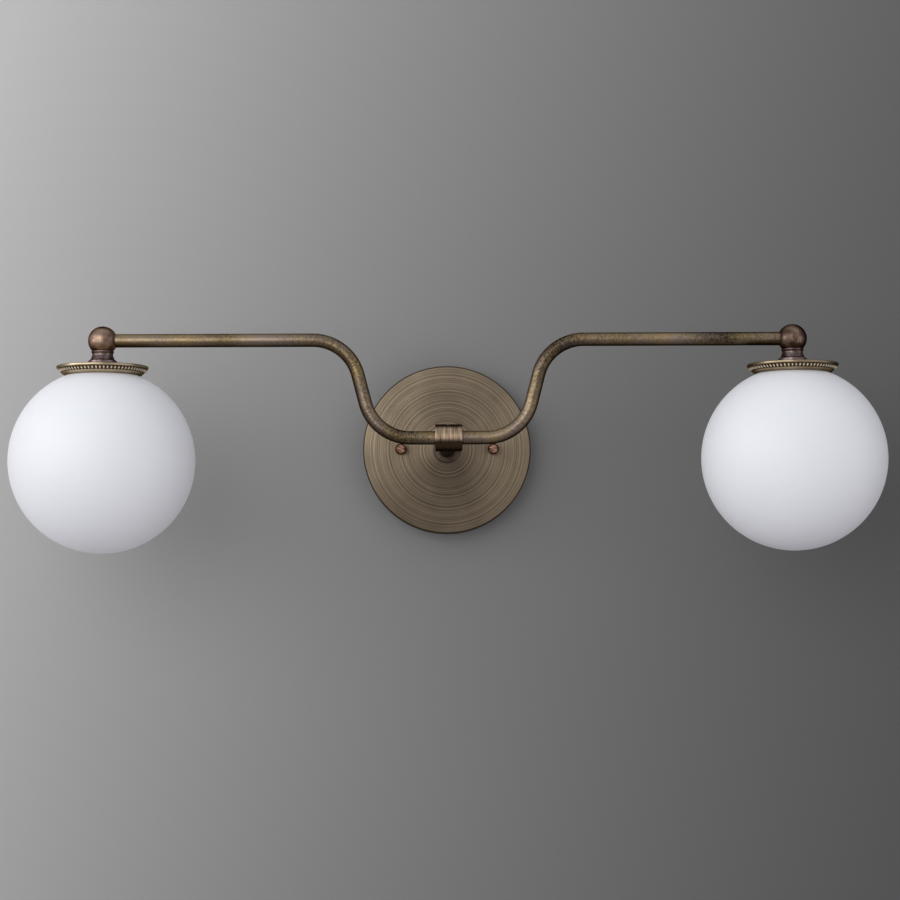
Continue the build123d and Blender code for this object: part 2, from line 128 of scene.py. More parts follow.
class FixtureSizes(bpy.types.PropertyGroup):
    """Sizes of the backplate, stem, tee, arm and knobs that the frame's boxes don't give."""

    plate_sheet: length("Plate sheet", "Thickness of the backplate's sheet", 0.0012)
    plate_edge: length("Plate edge", "Radius of the backplate's rounded edge", 0.0016)
    plate_crown: length("Plate crown", "How far the backplate's face falls back towards its edge", 0.0014)
    ring_pitch: length("Ring pitch", "Mean distance between the backplate's turned rings", 0.0009)
    ring_depth: length("Ring depth", "Depth of the deepest turned ring", 0.00007)
    stem_ring_edge: length("Stem ring edge", "Radius of the stem ring's rounded edge", 0.0012)
    tee_bevel: length("Tee bevel", "Width of the bevel on the tee's ends", 0.0007)
    grub_proud: length("Grub proud", "How far the grub screw stands out of the tee", 0.00006)
    grub_key: length("Grub key", "Width over the corners of the grub screw's six-sided socket", 0.0023)
    bend_radius: length("Bend radius", "Radius of the arm's bends at the tube's middle", 0.033)
    bend_angle: FloatProperty(
        name="Bend angle",
        description="Turn of each of the arm's bends",
        default=radians(75.5),
        subtype="ANGLE",
    )
    middle_run: length("Middle run", "Straight length of the arm through the tee", 0.053)
    knob_foot: length("Knob foot", "Diameter of a knob's foot on the backplate", 0.006)
    knob_foot_height: length("Knob foot height", "Height of a knob's foot", 0.0008)
    knob_tip: length("Knob tip", "Diameter of a knob's turned tip", 0.0024)
    knob_tip_height: length("Knob tip height", "How far a knob's tip stands past its ball", 0.0007)


class LampSizes(bpy.types.PropertyGroup):
    """Sizes of each lamp's neck, holder, beads and globe that the frame's boxes don't give."""

    collar: length("Collar", "Diameter of the neck's collar under the ball", 0.0157)
    collar_height: length("Collar height", "Height of the neck's collar", 0.0007)
    waist: length("Waist", "Diameter of the neck's hollow waist", 0.0144)
    waist_height: length("Waist height", "Height of the neck's waist", 0.0032)
    thin_ring: length("Thin ring", "Diameter of the ring under the waist", 0.0158)
    thin_ring_height: length("Thin ring height", "Height of the ring under the waist", 0.0007)
    foot_height: length("Foot height", "Height of the neck's foot", 0.0039)
    pipe_hole: length("Pipe hole", "Diameter of the hole for the threaded pipe", 0.0104)
    sheet: length("Holder sheet", "Thickness of the holder's sheet", 0.001)
    mouth: length("Holder mouth", "Diameter of the holder's mouth", 0.0535)
    rim_height: length("Rim height", "Height of the holder's plain rim", 0.0017)
    rim_edge: length("Rim edge", "Radius of the rim's rounded edge", 0.00045)
    rim_bevel: length("Rim bevel", "Width of the bevel under the rim", 0.0005)
    rim_step: length("Rim step", "How far the rim's end stands out over the flare", 0.0004)
    lip_height: length("Lip height", "Height of the tapered lip at the holder's mouth", 0.0018)
    lip_taper: length("Lip taper", "How much further out the lip starts than it ends", 0.00215)
    band_recess: length("Band recess", "How far the flare lies inside the lip's top", 0.0011)
    bead_count: IntProperty(name="Beads", description="Beads round each holder", default=72, min=3)
    bead_height: length("Bead height", "How far a bead stands out from its band", 0.0007)
    bead_share: factor("Bead share", "Share of the pitch that a bead's width takes", 0.6)
    bead_reach: factor("Bead reach", "Share of the band's slope that a bead's length takes", 0.76)
    bead_lift: length("Bead lift", "How far the beads sit above the middle of their band", 0.0003)
    band_sheet: length("Band sheet", "Thickness of the band that carries the beads", 0.0003)
    globe_wall: length("Globe wall", "Thickness of the globe's glass", 0.003)
    globe_neck: length("Globe neck", "Diameter of the globe's screw neck", 0.048)
    globe_neck_fillet: length("Globe neck fillet", "Radius where the globe's neck meets its ball", 0.0008)


class FinishColours(bpy.types.PropertyGroup):
    """Colours of the finishes that show."""

    plate: colour("Plate", "Backplate's browned brass", "#807360")
    plate_light: colour("Plate light", "Backplate where the turning tool left bright metal", "#A8977F")
    plate_dark: colour("Plate dark", "Backplate where patina stayed in the rings", "#615644")
    # Painted shade: this dark colour is painted on the backplate's rounded edge, where shade falls
    plate_edge: colour("Plate edge", "Thick patina on the backplate's rounded edge", "#4A3F33")
    tube_light: colour("Tube light", "Arm where the patina is rubbed back to gold", "#A99267")
    tube_grey: colour("Tube grey", "Arm where the patina is rubbed to a thin grey", "#978879")
    tube_dark: colour("Tube dark", "Arm where the patina is thick", "#30271E")
    # The stem and foot ring are darker than the backplate: partly patina, partly painted shade under the tee
    stem_light: colour("Stem light", "Stem and foot ring where rubbed", "#695B50")
    stem_dark: colour("Stem dark", "Stem and foot ring in thick patina", "#3F352C")
    tee_light: colour("Tee light", "Tee's brushed barrel", "#C2AA8D")
    tee_dark: colour("Tee dark", "Brown between the tee's brush lines", "#33251A")
    tee_edge: colour("Tee edge", "Bare metal on the tee's worn bevels", "#CDB69E")
    ball_light: colour("Ball light", "Ball where rubbed", "#B09580")
    ball_dark: colour("Ball dark", "Ball in thick patina", "#57463D")
    neck_light: colour("Neck light", "Neck where rubbed", "#938280")
    neck_dark: colour("Neck dark", "Neck in thick patina", "#4A3E3C")
    holder_light: colour("Holder light", "Holder's rubbed metal", "#D9C8A9")
    holder_dark: colour("Holder dark", "Holder in patina", "#8D7C63")
    bead_light: colour("Bead light", "Rubbed crowns of the beads", "#E8DABD")
    bead_dark: colour("Bead dark", "Patina left between the beads", "#4E3D27")
    knob_light: colour("Knob light", "Knobs where rubbed", "#B89078")
    knob_dark: colour("Knob dark", "Knobs in patina", "#5E4232")
    opal: colour("Opal glass", "Opal white of the globes", "#F3F5F9")
    opal_dim: colour("Opal dim", "Opal white where the glass clouds", "#EEF0F5")


class StageSettings(bpy.types.PropertyGroup):
    """Wall, floor, light and camera round the vanity light."""

    wall: colour("Wall", "Matt grey wall paint at the light's middle", "#888886")
    # Painted light on the wall: how fast its grey lightens along each axis
    wall_painted_light: FloatVectorProperty(
        name="Wall fade",
        description="How fast the wall's grey lightens along each axis",
        default=(-1.86, 0, 0.54),
    )
    wall_radius: length("Wall radius", "Reach of the wall behind the light", 1.6)
    floor: colour("Floor", "Pale floor", "#D8D8D6")
    floor_dim: colour("Floor dim", "Pale floor where it is a little darker", "#D2D2D0")
    floor_drop: length("Floor drop", "Height of the light's middle over the floor", 1.95)
    floor_half: length("Floor half width", "Half of the floor's width", 0.7)
    key_power: power("Key power", "Power of the key light", 9.6)
    front_power: power("Front power", "Power of the front light", 14)
    fill_power: power("Fill power", "Power of the fill light", 17.5)
    air_low: colour("Air low", "Dimmer light from below on the right", "#B1AEB4")
    air_high: colour("Air high", "Light from above on the left", "#D3D4D9")
    air_rise: FloatVectorProperty(
        name="Air rise",
        description="Direction in which the light from all round grows",
        default=(-0.35, 0, 0.94),
    )
    lens: FloatProperty(name="Lens", description="Camera's focal length", default=86.1, unit="CAMERA")


def add_node(tree, kind, inputs=None, **settings):
    """Adds a shader node with its settings. An input takes a value, a socket or a node's first live output.
    A Mix node's inputs go by number: 0 is its share, 2 and 3 are two numbers, 6 and 7 two colours."""
    node = tree.nodes.new("ShaderNode" + kind)
    for name, value in settings.items():
        setattr(node, name, value)
    for socket, value in (inputs or {}).items():
        if isinstance(value, bpy.types.Node):
            value = next(output for output in value.outputs if output.enabled)
        if isinstance(value, bpy.types.NodeSocket):
            tree.links.new(value, node.inputs[socket])
        else:
            node.inputs[socket].default_value = value
    return node


def new_material(name):
    """New empty material, what adds its nodes, and the place on the piece that its patterns read."""
    material = bpy.data.materials.new(name)
    material.use_nodes = True
    material.node_tree.nodes.clear()
    node = partial(add_node, material.node_tree)
    return material, node, node("TexCoord").outputs["Object"]


def add_surface(node, inputs):
    """Principled surface with these inputs, joined to the material's output."""
    node("OutputMaterial", {"Surface": node("BsdfPrincipled", inputs)})


# Browned brass reflects little at a grazing angle, which draws a dark line along round pieces
DARK_GRAZE = linear("#7A6A5C")


def turned_plate_brass(colours, radius):
    """Antique brass faced off on a lathe: fine light and dark rings, a sheen in fans, and painted shade on
    its rounded edge. Painted light makes its upper half a little brighter and its lower half a little darker."""
    material, node, place = new_material("turned_antique_brass")
    # A lathe's finest marks, about 0.1 mm apart, are too fine to show, so the fine rings are drawn coarser
    ring_width, fine_width, cloud_width, shaded_edge_width = 0.0013, 0.0004, 0.03, 0.0013
    fine_share, cloud_share, most_painted_top_light = 0.35, 0.25, 0.08
    turned = node("Attribute", attribute_name="turned").outputs["Vector"]
    reach = node("SeparateXYZ", {0: turned}).outputs["X"]
    height = node("SeparateXYZ", {0: place}).outputs["Z"]
    rings = node("TexNoise", {"W": reach, "Scale": 1 / ring_width, "Detail": 2.0}, noise_dimensions="1D")
    fine = node("TexNoise", {"W": reach, "Scale": 1 / fine_width, "Detail": 2.0}, noise_dimensions="1D")
    clouds = node("TexNoise", {"Vector": place, "Scale": 1 / cloud_width, "Detail": 3.0})
    both = node("Mix", {0: fine_share, 2: rings, 3: fine})
    worn = node("Mix", {0: cloud_share, 2: both, 3: clouds})
    # Painted light: the face is painted brighter towards its top and darker towards its bottom
    rise = {"From Min": -radius, "From Max": radius, "To Min": -most_painted_top_light, "To Max": most_painted_top_light}
    rub_and_painted_light = node("MapRange", {"Value": height, **rise})
    rubbed = node("Math", {0: worn, 1: rub_and_painted_light}, operation="ADD")
    crest = node("MapRange", {"Value": rubbed, "From Min": 0.5, "From Max": 0.66})
    groove = node("MapRange", {"Value": rubbed, "From Min": 0.45, "From Max": 0.34})
    # Painted shade: the rounded edge is painted dark with the plate's edge colour
    rim = {"From Min": radius - shaded_edge_width, "From Max": radius - shaded_edge_width / 2}
    edge = node("MapRange", {"Value": reach, **rim})
    lit = node("Mix", {0: crest, 6: colours.plate, 7: colours.plate_light}, data_type="RGBA")
    browned = node("Mix", {0: groove, 6: lit, 7: colours.plate_dark}, data_type="RGBA")
    paint = node("Mix", {0: edge, 6: browned, 7: colours.plate_edge}, data_type="RGBA")
    bump = node("Bump", {"Height": both, "Strength": 0.3, "Distance": ring_width / 12})
    surface = {
        "Base Color": paint,
        "Metallic": 1.0,
        "Roughness": 0.44,
        "Anisotropic": 0.88,
        "Anisotropic Rotation": 0.25,
        "Tangent": node("Tangent", direction_type="RADIAL", axis="Y"),
        "Normal": bump,
    }
    add_surface(node, surface)
    return material


def drawn_tube_brass(colours):
    """Drawn brass tube, browned and rubbed with a pad: gold and grey patches, dark stretches, fine specks and
    streaks. Painted shade darkens its underside, and it is darker towards its right end, partly patina and
    partly painted shade."""
    material, node, place = new_material("rubbed_antique_brass_tube")
    # The pad's scratches, about 0.1 mm wide, are too fine to show, so the streaks are drawn coarser
    stretch, patch_length, patch_width, speck = 0.07, 0.02, 0.008, 0.0014
    streak_length, streak_width = 0.003, 0.0005
    streak_share, stretch_share = 0.45, 0.45
    straight = node("Attribute", attribute_name="straight").outputs["Vector"]
    axes = node("SeparateXYZ", {0: straight}).outputs
    from_middle = node("SeparateXYZ", {0: place}).outputs["X"]
    stretches = node("TexNoise", {"W": axes["X"], "Scale": 1 / stretch, "Detail": 1.0}, noise_dimensions="1D")
    patch_scale = (1 / patch_length, 1 / patch_width, 1 / patch_width)
    long_patches = node("VectorMath", {0: straight, 1: patch_scale}, operation="MULTIPLY")
    patches = node("TexNoise", {"Vector": long_patches, "Scale": 1.0, "Detail": 2.0})
    specks = node("TexNoise", {"Vector": straight, "Scale": 1 / speck, "Detail": 4.0, "Roughness": 0.65})
    streak_scale = (1 / streak_width, 1 / streak_length, 1 / streak_length)
    stretched = node("VectorMath", {0: straight, 1: streak_scale}, operation="MULTIPLY")
    streaks = node("TexNoise", {"Vector": stretched, "Scale": 1.0, "Detail": 3.0})
    grey = node("MapRange", {"Value": patches, "From Min": 0.3, "From Max": 0.7})
    rubbed = node("Mix", {0: grey, 6: colours.tube_light, 7: colours.tube_grey}, data_type="RGBA")
    fine = node("Mix", {0: streak_share, 2: specks, 3: streaks})
    both = node("Mix", {0: stretch_share, 2: fine, 3: stretches})
    # Darker towards the right end: partly patina, partly painted shade where less light falls on the right
    darker_end_reach = {"From Min": 0.7 * arm_end, "From Max": 0.9 * arm_end, "To Max": 0.1}
    right_end = node("MapRange", {"Value": from_middle, **darker_end_reach})
    rub_and_painted_light = node("Math", {0: both, 1: right_end}, operation="SUBTRACT")
    share = node("MapRange", {"Value": rub_and_painted_light, "From Min": 0.37, "From Max": 0.57})
    worn = node("Mix", {0: share, 6: colours.tube_dark, 7: rubbed}, data_type="RGBA")
    # Painted shade: the tube's underside is painted dark
    painted_underside_reach = {"From Min": 0.0, "From Max": -0.9 * tube_radius, "To Max": 0.8}
    under = node("MapRange", {"Value": axes["Y"], **painted_underside_reach})
    paint = node("Mix", {0: under, 6: worn, 7: colours.tube_dark}, data_type="RGBA")
    surface = {
        "Base Color": paint,
        "Metallic": 1.0,
        "Roughness": node("MapRange", {"Value": both, "To Min": 0.5, "To Max": 0.26}),
        "Specular Tint": DARK_GRAZE,
        "Normal": node("Bump", {"Height": fine, "Strength": 0.2, "Distance": streak_width / 4}),
    }
    add_surface(node, surface)
    return material


def brushed_barrel_brass(colours, half_length, radius, bevel):
    """Brass barrel polished round with a strip: fine lines that run round it, worn end bevels, and painted
    shade that darkens its top and its underside."""
    material, node, place = new_material("brushed_antique_brass_barrel")
    # The strip's scratches, about 0.1 mm wide, are too fine to show, so the lines are drawn coarser
    line_width, line_length = 0.0011, 0.02
    axes = node("SeparateXYZ", {0: place}).outputs
    line_scale = (1 / line_width, 1 / line_length, 1 / line_length)
    stretched = node("VectorMath", {0: place, 1: line_scale}, operation="MULTIPLY")
    lines = node("TexNoise", {"Vector": stretched, "Scale": 1.0, "Detail": 4.0, "Roughness": 0.6})
    share = node("MapRange", {"Value": lines, "From Min": 0.25, "From Max": 0.6})
    worn = node("Mix", {0: share, 6: colours.tee_dark, 7: colours.tee_light}, data_type="RGBA")
    # Painted shade: the barrel's top and underside are painted dark
    painted_under_reach = {"From Min": -0.1 * radius, "From Max": -0.35 * radius, "To Max": 0.95}
    under = node("MapRange", {"Value": axes["Z"], **painted_under_reach})
    painted_top_reach = {"From Min": 0.6 * radius, "From Max": 0.82 * radius, "To Max": 0.85}
    over = node("MapRange", {"Value": axes["Z"], **painted_top_reach})
    painted_top_and_under_shade = node("Math", {0: under, 1: over}, operation="MAXIMUM")
    from_middle = node("Math", {0: axes["X"]}, operation="ABSOLUTE")
    worn_bevel = {"From Min": half_length - 1.4 * bevel, "From Max": half_length - bevel}
    edge = node("MapRange", {"Value": from_middle, **worn_bevel})
    barrel = node("Mix", {0: edge, 6: worn, 7: colours.tee_edge}, data_type="RGBA")
    surface = {
        "Base Color": node("Mix", {0: painted_top_and_under_shade, 6: barrel, 7: colours.tee_dark}, data_type="RGBA"),
        "Metallic": 1.0,
        "Roughness": 0.36,
        "Specular Tint": DARK_GRAZE,
        "Normal": node("Bump", {"Height": lines, "Strength": 0.15, "Distance": line_width / 4}),
    }
    add_surface(node, surface)
    return material


# Turned and spun brass by piece: what it is, the width of its tool marks and of its patches in metres, the
# marks' share of the pattern, and its roughness. Real tool marks, about 0.1 mm apart, are too fine to show,
# so these are drawn coarser
LATHE_FINISHES = {
    "stem": ("turned_antique_brass_stem", 0.0006, 0.006, 0.35, 0.36),
    "knob": ("turned_red_brass_knobs", 0.0004, 0.004, 0.1, 0.15),
    "ball": ("turned_dark_brass_{side}_ball", 0.0008, 0.008, 0.12, 0.34),
    "neck": ("turned_dark_brass_necks", 0.0005, 0.004, 0.25, 0.3),
    "holder": ("spun_antique_brass_{side}_holder", 0.0012, 0.012, 0.6, 0.3),
}


def lathe_brass(colours, kind, side=None):
    """Small turned brass piece, browned: tool marks round it, and patina that is rubbed thin in patches.
    On the right lamp it is darker, partly patina and partly painted shade.
    """
    name, mark_width, patch, mark_share, roughness = LATHE_FINISHES[kind]
    material, node, place = new_material(name.format(side=side))
    light = getattr(colours, f"{kind}_light")
    dark = getattr(colours, f"{kind}_dark")
    patina_and_shade = PATINA_AND_SHADE.get(side, 0.0)
    turned = node("Attribute", attribute_name="turned").outputs["Vector"]
    parts = node("SeparateXYZ", {0: turned}).outputs
    along = node("Math", {0: parts["X"], 1: parts["Y"]}, operation="ADD")
    marks = node("TexNoise", {"W": along, "Scale": 1 / mark_width, "Detail": 2.0}, noise_dimensions="1D")
    patches = node("TexNoise", {"Vector": place, "Scale": 1 / patch, "Detail": 4.0})
    both = node("Mix", {0: mark_share, 2: patches, 3: marks})
    # Partly painted shade: the right lamp's pieces are shifted darker
    share = node("MapRange", {"Value": both, "From Min": 0.34 + patina_and_shade, "From Max": 0.66 + patina_and_shade})
    surface = {
        "Base Color": node("Mix", {0: share, 6: dark, 7: light}, data_type="RGBA"),
        "Metallic": 1.0,
        "Roughness": roughness,
        "Specular Tint": DARK_GRAZE,
        "Normal": node("Bump", {"Height": marks, "Strength": mark_share / 3, "Distance": mark_width / 4}),
    }
    add_surface(node, surface)
    return material


def beaded_brass(colours):
    """Brass bead row, browned and then rubbed: bright on the beads' crowns and dark in the gaps."""
    material, node, place = new_material("rubbed_antique_brass_beads")
    patch, least_rub = 0.004, -0.35
    proud = node("Attribute", attribute_name="proud").outputs["Fac"]
    patches = node("TexNoise", {"Vector": place, "Scale": 1 / patch, "Detail": 3.0})
    height = node("Math", {0: proud, 1: patches, 2: least_rub}, operation="MULTIPLY_ADD")
    rubbed = node("Math", {0: proud, 1: height}, operation="ADD")
    share = node("MapRange", {"Value": rubbed, "From Min": 0.1, "From Max": 0.75})
    paint = node("Mix", {0: share, 6: colours.bead_dark, 7: colours.bead_light}, data_type="RGBA")
    add_surface(node, {"Base Color": paint, "Metallic": 1.0, "Roughness": 0.3})
    return material


def etched_opal_glass(colours):
    """Blown opal glass, etched satin outside: an even white with a soft sheen and the faintest clouding."""
    material, node, place = new_material("etched_opal_glass")
    # The etch's grain, about 0.05 mm, is too fine to show, so it is drawn coarser
    cloud, etch = 0.05, 0.0005
    clouds = node("TexNoise", {"Vector": place, "Scale": 1 / cloud, "Detail": 2.0})
    grain = node("TexNoise", {"Vector": place, "Scale": 1 / etch, "Detail": 1.0})
    surface = {
        "Base Color": node("Mix", {0: clouds, 6: colours.opal_dim, 7: colours.opal}, data_type="RGBA"),
        "Roughness": 0.5,
        "IOR": 1.5,
        "Subsurface Weight": 0.3,
        "Subsurface Radius": (0.004, 0.004, 0.0045),
        "Subsurface Scale": 1.0,
        "Sheen Weight": 0.1,
        "Normal": node("Bump", {"Height": grain, "Strength": 0.04, "Distance": etch / 8}),
    }
    add_surface(node, surface)
    return material


# Finishes of the pieces inside and of the grub screw, by material slot: what it is, its two colours, grain
# size in metres, metallic, roughness and how much light it lets through
PLAIN_FINISHES = {
    "zinc_steel": ("zinc_plated_steel", "#C7C9CB", "#B2B5B8", 0.003, 1.0, 0.36, 0.0),
    "plain_brass": ("drawn_brass", "#D9BC74", "#B08E48", 0.003, 1.0, 0.32, 0.0),
    "green_screw": ("green_dyed_zinc", "#3E8F55", "#23683A", 0.002, 0.6, 0.4, 0.0),
    "bulb_glass": ("clear_lamp_glass", "#F7F8F8", "#EFF1F1", 0.02, 0.0, 0.04, 0.95),
    "bulb_metal": ("pressed_aluminium", "#CDCED0", "#A9ABAE", 0.002, 1.0, 0.34, 0.0),
    "bulb_insulator": ("vitrified_insulator", "#2A262B", "#151317", 0.003, 0.0, 0.2, 0.0),
    "porcelain": ("glazed_porcelain", "#EFEBE2", "#E2DCCF", 0.012, 0.0, 0.14, 0.0),
    "silicone": ("cast_silicone", "#D9D9D4", "#C6C6C0", 0.004, 0.0, 0.55, 0.0),
    "wire_insulation": ("extruded_wire_insulation", "#2B2B2E", "#1B1B1D", 0.003, 0.0, 0.5, 0.0),
    "connector_plastic": ("moulded_polypropylene", "#D9781E", "#C0630F", 0.003, 0.0, 0.42, 0.0),
}


def plain_finish(slot):
    """Even finish with the slight mottling, and the small swing in gloss, that the material's grain gives.
    It is made once for its slot."""
    name, light, dark, grain, metallic, roughness, clear = PLAIN_FINISHES[slot]
    if name in bpy.data.materials:
        return bpy.data.materials[name]
    material, node, place = new_material(name)
    gloss_swing = 0.2
    mottle = node("TexNoise", {"Vector": place, "Scale": 1 / grain, "Detail": 4.0})
    share = node("MapRange", {"Value": mottle, "From Min": 0.3, "From Max": 0.7})
    swing = {"To Min": (1 - gloss_swing) * roughness, "To Max": (1 + gloss_swing) * roughness}
    surface = {
        "Base Color": node("Mix", {0: share, 6: linear(dark), 7: linear(light)}, data_type="RGBA"),
        "Metallic": metallic,
        "Roughness": node("MapRange", {"Value": mottle, **swing}),
        "Transmission Weight": clear,
    }
    add_surface(node, surface)
    return material


def arc(middle, radius, start, end, steps):
    """Arc of an outline as (radius, height) points; 0 degrees points outwards and 90 up the axis."""
    angles = [radians(start + (end - start) * step / steps) for step in range(steps + 1)]
    return [(middle[0] + radius * cos(angle), middle[1] + radius * sin(angle)) for angle in angles]


def bowed(start, end, bulge, steps):
    """Smooth bow between two points of an outline; a positive bulge stands outwards from the axis."""
    points = []
    for step in range(steps + 1):
        share = step / steps
        reach = start[0] + (end[0] - start[0]) * share + bulge * 4 * share * (1 - share)
        points.append((reach, start[1] + (end[1] - start[1]) * share))
    return points


def spin_outline(mesh, outline, middle, up, steps, closed=True):
    """Spins an outline of (radius, height) points about the axis up through middle, into a bmesh."""
    out = up.orthogonal().normalized()
    points = [mesh.verts.new(middle + out * radius + up * height) for radius, height in outline]
    edges = [mesh.edges.new(pair) for pair in zip(points, points[1:])]
    if closed:
        edges.append(mesh.edges.new((points[-1], points[0])))
    bmesh.ops.spin(
        mesh,
        geom=points + edges,
        cent=middle,
        axis=up,
        dvec=(0, 0, 0),
        angle=2 * pi,
        steps=steps,
        use_merge=True,
    )
    bmesh.ops.remove_doubles(mesh, verts=mesh.verts[:], dist=SAME_POINT)
    bmesh.ops.recalc_face_normals(mesh, faces=mesh.faces[:])


def turned_piece(outline, middle, up, steps=TURNED_STEPS, closed=True):
    """Turned bmesh that keeps each point's radius and height as the attribute turned."""
    mesh = bmesh.new()
    turned = mesh.verts.layers.float_vector.new("turned")
    spin_outline(mesh, outline, middle, up, steps, closed)
    for point in mesh.verts:
        offset = point.co - middle
        height = offset.dot(up)
        point[turned] = ((offset - up * height).length, height, 0)
    return mesh


def add_object(mesh, name, material):
    """Links a bmesh to the scene as a smooth object with crisp edges."""
    data = bpy.data.meshes.new(name)
    mesh.to_mesh(data)
    mesh.free()
    data.materials.append(material)
    data.shade_smooth()
    data.set_sharp_from_angle(angle=SHARP_ANGLE)
    made = bpy.data.objects.new(name, data)
    bpy.context.scene.collection.objects.link(made)
    return made


def add_piece(mesh, name, material, body, slot, *nodes):
    """Adds a piece that moves with a body and stands for these CAD nodes."""
    piece = add_object(mesh, name, material)
    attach(piece, body)
    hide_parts(*nodes)


def plate_rings(inner, outer, front, sizes):
    """Crests and grooves of the backplate's turned rings as outline points. The face is slightly crowned,
    and the rings are uneven in pitch and depth."""
    pitch_beat, pitch_swing = 2.4, 0.5
    depth_beat, mean_depth, depth_swing = 1.7, 0.55, 0.45
    points = []
    place = inner
    count = 0
    while place < outer - sizes.ring_pitch:
        pitch = sizes.ring_pitch * (1 + pitch_swing * sin(pitch_beat * count))
        groove = sizes.ring_depth * (mean_depth + depth_swing * sin(depth_beat * count))
        face = front - sizes.plate_crown * (place / outer) ** 2
        points.append((place, face))
        points.append((place + pitch / 2, face - groove))
        place += pitch
        count += 1
    return points


class LIGHT_OT_backplate(bpy.types.Operator):
    """Add the spun backplate with its turned rings"""

    bl_idname = "vanity_light.backplate"
    bl_label = "Add backplate"

    def execute(self, context):
        sizes = context.scene.fixture_sizes
        radius = plate_high.x
        front = -plate_low.y
        hole = context.scene.lamp_sizes.pipe_hole / 2
        edge_middle = (radius - sizes.plate_edge, front - sizes.plate_crown - sizes.plate_edge)
        outline = [(hole, front - sizes.plate_sheet)]
        outline += plate_rings(hole, edge_middle[0], front, sizes)
        outline += arc(edge_middle, sizes.plate_edge, 90, 0, steps=10)
        outline += [(radius, 0), (radius - sizes.plate_sheet, 0)]
        outline += arc(edge_middle, sizes.plate_edge - sizes.plate_sheet, 0, 90, steps=8)
        mesh = turned_piece(outline, PLATE_MIDDLE, OFF_WALL, PLATE_STEPS)
        material = turned_plate_brass(context.scene.finish_colours, radius)
        add_piece(mesh, "backplate_dish", material, "fixture", "turned_brass", "backplate")
        return {"FINISHED"}


class LIGHT_OT_stem(bpy.types.Operator):
    """Add the stem and its foot ring"""

    bl_idname = "vanity_light.stem"
    bl_label = "Add stem and foot ring"

    def execute(self, context):
        edge = context.scene.fixture_sizes.stem_ring_edge
        hole = context.scene.lamp_sizes.pipe_hole / 2
        material = lathe_brass(context.scene.finish_colours, "stem")
        ring_low, ring_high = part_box("stem_ring")
        radius, low, high = ring_high.x, -ring_high.y, -ring_low.y
        outline = [(hole, high), (hole, low), (radius, low)]
        outline += arc((radius - edge, high - edge), edge, 0, 90, steps=8)
        mesh = turned_piece(outline, PLATE_MIDDLE, OFF_WALL)
        add_piece(mesh, "stem_foot", material, "fixture", "turned_brass", "stem_ring")
        stem_low, stem_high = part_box("stem")
        radius, low, high = stem_high.x, -stem_high.y, -stem_low.y
        outline = [(hole, low), (radius, low), (radius, high), (hole, high)]
        mesh = turned_piece(outline, PLATE_MIDDLE, OFF_WALL)
        add_piece(mesh, "stem_sleeve", material, "fixture", "tube_brass", "stem")
        return {"FINISHED"}


class LIGHT_OT_tee(bpy.types.Operator):
    """Add the tee's barrel and the grub screw on its top"""

    bl_idname = "vanity_light.tee"
    bl_label = "Add tee"

    def execute(self, context):
        bevel = context.scene.fixture_sizes.tee_bevel
        low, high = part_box("tee")
        half = (high.x - low.x) / 2
        radius = (high.z - low.z) / 2
        middle = Vector((0, arm_y, 0))
        outline = [(tube_radius, -half), (radius - bevel, -half), (radius, bevel - half)]
        outline += [(radius, half - bevel), (radius - bevel, half), (tube_radius, half)]
        mesh = turned_piece(outline, middle, ALONG_ARM)
        material = brushed_barrel_brass(context.scene.finish_colours, half, radius, bevel)
        add_piece(mesh, "tee_barrel", material, "fixture", "tee_brass", "tee")
        self.add_grub_screw(context, radius)
        return {"FINISHED"}

    def add_grub_screw(self, context, tee_radius):
        """Short screw with a six-sided socket that clamps the arm from above."""
        sizes = context.scene.fixture_sizes
        low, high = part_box("tee_set_screw")
        middle = (low + high) / 2
        middle.z = 0
        radius, key = (high.x - low.x) / 2, sizes.grub_key / 2
        top = tee_radius + sizes.grub_proud
        edge = sizes.grub_proud / 4
        outline = [(key, top), (radius - edge, top), (radius, top - edge), (radius, low.z), (0, low.z)]
        mesh = turned_piece(outline, middle, UPWARDS, closed=False)
        socket = [(key, top), (key, tee_radius + edge), (0, tee_radius + edge)]
        spin_outline(mesh, socket, middle, UPWARDS, steps=6, closed=False)
        # Its points go down with the barrel's round, so that its rim stands out evenly
        for point in mesh.verts:
            point.co.z -= tee_radius - sqrt(tee_radius**2 - (point.co.y - arm_y) ** 2)
        material = plain_finish("zinc_steel")
        add_piece(mesh, "tee_grub_screw", material, "fixture", "zinc_steel", "tee_set_screw")


def grow_ring(mesh, ring, matrix):
    """Extrudes a ring of edges and moves the new ring by a matrix."""
    grown = bmesh.ops.extrude_edge_only(mesh, edges=ring)["geom"]
    points = [part for part in grown if isinstance(part, bmesh.types.BMVert)]
    bmesh.ops.transform(mesh, matrix=matrix, verts=points)
    return [part for part in grown if isinstance(part, bmesh.types.BMEdge) and set(part.verts) <= set(points)]


def mark_ring(ring, layer, along, place, heading):
    """Keeps on a ring's points their distance along the tube and their offset across it."""
    across = Vector((-heading.z, 0, heading.x))
    for point in {point for edge in ring for point in edge.verts}:
        offset = point.co - place
        point[layer] = (along, offset.dot(across), offset.y)


